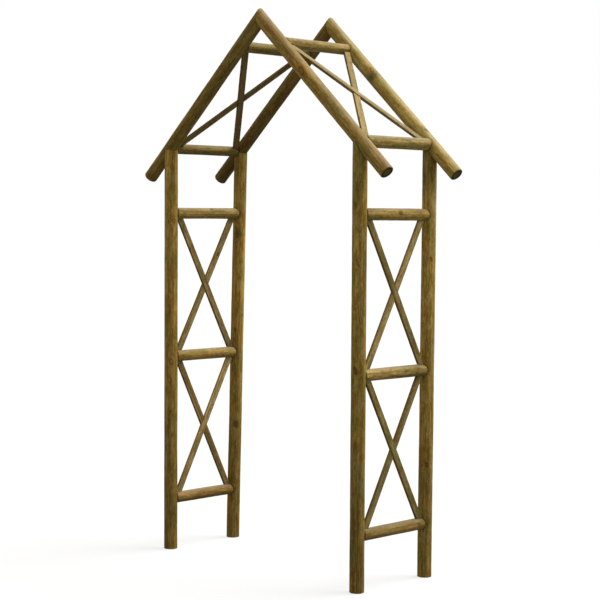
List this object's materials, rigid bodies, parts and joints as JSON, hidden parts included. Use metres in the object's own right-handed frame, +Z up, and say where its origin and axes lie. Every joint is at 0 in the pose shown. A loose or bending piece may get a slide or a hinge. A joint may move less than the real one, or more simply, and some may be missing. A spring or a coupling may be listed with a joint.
{
  "type": "rustic garden arch",
  "caption": "Free-standing garden arch of rounded timber poles: two gable frames joined by rungs, ties and crossed batten braces.",
  "frame": {"origin": "On the ground, at the centre of the bounding box's base: midway across the walk-through and midway between the front and back frames.", "axes": "+X runs to the right across the walk-through, seen from the front; +Y runs from the front frame to the back frame, the way people walk through; +Z is up."},
  "size_m": [1.4748, 0.4799, 2.362],
  "materials": {
    "pole_wood": "rounded softwood, pressure treated, matt",
    "rung_wood": "rounded softwood, pressure treated, matt",
    "brace_wood": "sawn softwood batten, pressure treated, matt"
  },
  "bodies": {
    "root": {"post_front_left": "pole_wood", "post_front_right": "pole_wood", "post_back_left": "pole_wood", "post_back_right": "pole_wood", "rung_left_low": "rung_wood", "rung_left_mid": "rung_wood", "rung_left_top": "rung_wood", "rung_right_low": "rung_wood", "rung_right_mid": "rung_wood", "rung_right_top": "rung_wood", "rafter_front_left": "pole_wood", "rafter_front_right": "pole_wood", "rafter_back_left": "pole_wood", "rafter_back_right": "pole_wood", "tie_eaves_left": "rung_wood", "tie_eaves_right": "rung_wood", "tie_ridge_left": "rung_wood", "tie_ridge_right": "rung_wood", "brace_left_low_fall": "brace_wood", "brace_left_low_rise": "brace_wood", "brace_left_high_fall": "brace_wood", "brace_left_high_rise": "brace_wood", "brace_right_low_fall": "brace_wood", "brace_right_low_rise": "brace_wood", "brace_right_high_fall": "brace_wood", "brace_right_high_rise": "brace_wood", "brace_roof_left_fall": "brace_wood", "brace_roof_left_rise": "brace_wood", "brace_roof_right_fall": "brace_wood", "brace_roof_right_rise": "brace_wood"}
  },
  "joints": []
}
